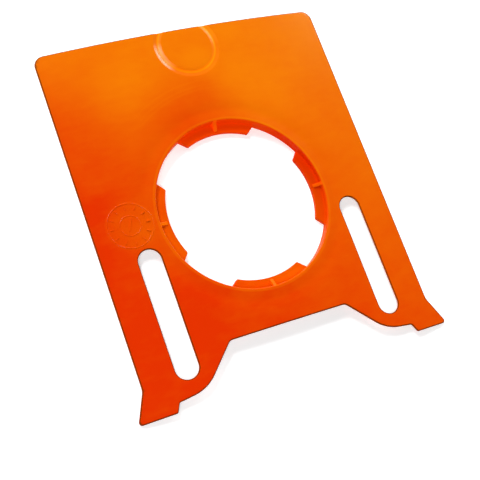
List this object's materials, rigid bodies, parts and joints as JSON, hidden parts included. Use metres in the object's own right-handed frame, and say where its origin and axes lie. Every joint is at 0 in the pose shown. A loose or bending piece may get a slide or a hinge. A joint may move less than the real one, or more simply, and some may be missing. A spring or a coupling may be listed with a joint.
{
  "type": "vacuum bag holder",
  "caption": "Thin bowed plate that holds a vacuum cleaner's dust bag, with a bayonet ring, finger slots beside it and flared feet.",
  "frame": {"origin": "middle of the bounding box, on the floor under the ring's flat back", "axes": "+X across the plate, +Y from the feet to the top edge, +Z out of the front face"},
  "size_m": [0.1204, 0.1332, 0.0047],
  "materials": {
    "orange_plastic": "semi-gloss orange injection-moulded plastic, slightly translucent"
  },
  "bodies": {
    "root": {"bag_holder": "orange_plastic"}
  },
  "joints": []
}
